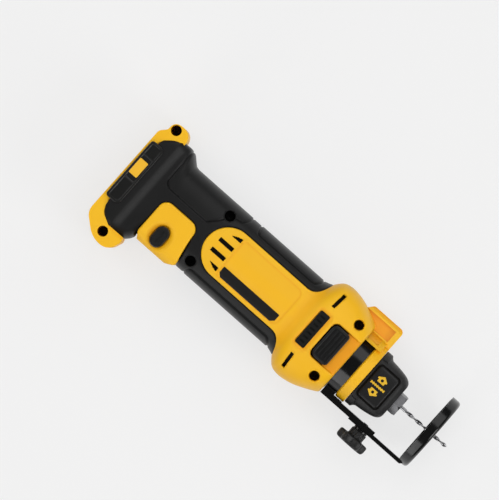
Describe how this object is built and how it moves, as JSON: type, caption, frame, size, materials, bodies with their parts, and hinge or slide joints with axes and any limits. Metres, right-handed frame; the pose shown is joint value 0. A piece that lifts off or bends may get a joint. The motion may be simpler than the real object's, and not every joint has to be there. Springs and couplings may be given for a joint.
{
  "type": "drywall cut-out tool",
  "caption": "Cordless in-line drywall cut-out tool with battery foot, soft-grip barrel, flared head, tool-free nose collar and a sliding depth guide with a round foot.",
  "frame": {"origin": "on the spindle axis at the rear face of the battery foot", "axes": "+X along the spindle towards the bit, +Y towards the light beside the nose, +Z out of the front housing half, up as the tool lies on its side"},
  "size_m": [0.3518, 0.118, 0.0768],
  "materials": {
    "yellow_nylon": "fine moulded grain",
    "yellow_tile": "smooth",
    "black_overmould": "fine moulded grain",
    "black_plastic": "satin",
    "label_black": "satin film",
    "screw_steel": "zinc plated",
    "blade_metal": "plain",
    "board": "potted board",
    "lead_red": "insulation",
    "zinc_steel": "zinc plated",
    "magnet": "ferrite",
    "carbon": "carbon",
    "bearing_steel": "ground",
    "sleeve_aluminium": "machined",
    "lens_clear": "clear",
    "black_steel": "black coat",
    "core_steel": "laminated",
    "copper": "wound",
    "nut_steel": "machined",
    "bit_steel": "ground",
    "mark_yellow": "pad print"
  },
  "bodies": {
    "housing": {"housing_front": "yellow_nylon", "housing_rear": "yellow_nylon", "overmould_front": "black_overmould", "overmould_rear": "black_overmould", "switch_surround_front": "yellow_nylon", "switch_surround_rear": "yellow_nylon", "badge_slab_front": "black_plastic", "badge_slab_rear": "black_plastic", "badge_tile_front": "yellow_tile", "badge_tile_rear": "yellow_tile", "label_strip_front": "label_black", "label_strip_rear": "label_black", "exhaust_screen_front": "black_plastic", "exhaust_screen_rear": "black_plastic", "housing_screws": "screw_steel", "terminal_block": "black_plastic", "terminal_blades": "blade_metal", "control_module": "board", "switch_body": "black_plastic", "motor_leads": "lead_red", "motor_can": "zinc_steel", "field_magnets": "magnet", "motor_rear_bell": "black_plastic", "motor_front_plate": "zinc_steel", "brush_boxes": "blade_metal", "brushes": "carbon", "brush_springs": "screw_steel", "rear_bearing_ring": "bearing_steel", "front_bearing_ring": "bearing_steel", "bearing_balls_set": "bearing_steel", "nose_sleeve": "sleeve_aluminium", "collar_retainer": "bearing_steel", "light_housing": "yellow_nylon", "light_lens": "lens_clear", "light_board": "board", "guide_bracket": "black_steel", "band_bolt": "screw_steel", "lock_spring": "screw_steel"},
    "switch": {"switch_button": "black_plastic"},
    "lock": {"lock_button": "black_plastic", "lock_pin": "screw_steel"},
    "spindle": {"spindle_shaft": "bearing_steel", "armature_core": "core_steel", "armature_windings": "copper", "commutator": "copper", "cooling_fan": "black_plastic", "lock_disc": "bearing_steel", "bearing_inner_rings": "bearing_steel", "collet": "bearing_steel", "collet_nut": "nut_steel", "cutting_bit": "bit_steel"},
    "collar": {"nose_collar": "black_plastic", "collar_symbols": "mark_yellow"},
    "guide": {"guide_slide": "black_steel"},
    "washer": {"thumb_washer": "screw_steel"},
    "thumb": {"thumb_screw": "black_steel"}
  },
  "joints": [
    {"name": "spindle_spin", "type": "hinge", "parent": "housing", "child": "spindle", "pos_m": [0.2, 0, 0], "axis": [1, 0, 0], "continuous": true},
    {"name": "collar_turn", "type": "hinge", "parent": "housing", "child": "collar", "pos_m": [0.275, 0, 0], "axis": [1, 0, 0], "range_deg": [0, 60]},
    {"name": "switch_push", "type": "slide", "parent": "housing", "child": "switch", "axis": [0, 0, 1], "range_m": [-0.004, 0]},
    {"name": "lock_press", "type": "slide", "parent": "housing", "child": "lock", "axis": [0, 0, 1], "range_m": [-0.003, 0], "stiffness_N_per_m": 300, "deforming": ["lock_spring"]},
    {"name": "guide_depth", "type": "slide", "parent": "housing", "child": "guide", "axis": [1, 0, 0], "range_m": [-0.017, 0.007]},
    {"name": "thumb_travel", "type": "slide", "parent": "housing", "child": "washer", "axis": [0, -1, 0], "range_m": [0, 0.0012]},
    {"name": "thumb_turn", "type": "hinge", "parent": "washer", "child": "thumb", "pos_m": [0.2895, -0.045, 0], "axis": [0, -1, 0], "range_deg": [0, 540]}
  ],
  "couplings": [
    {"joint": "thumb_turn", "follows": "thumb_travel", "rad_per_m": 7854}
  ]
}
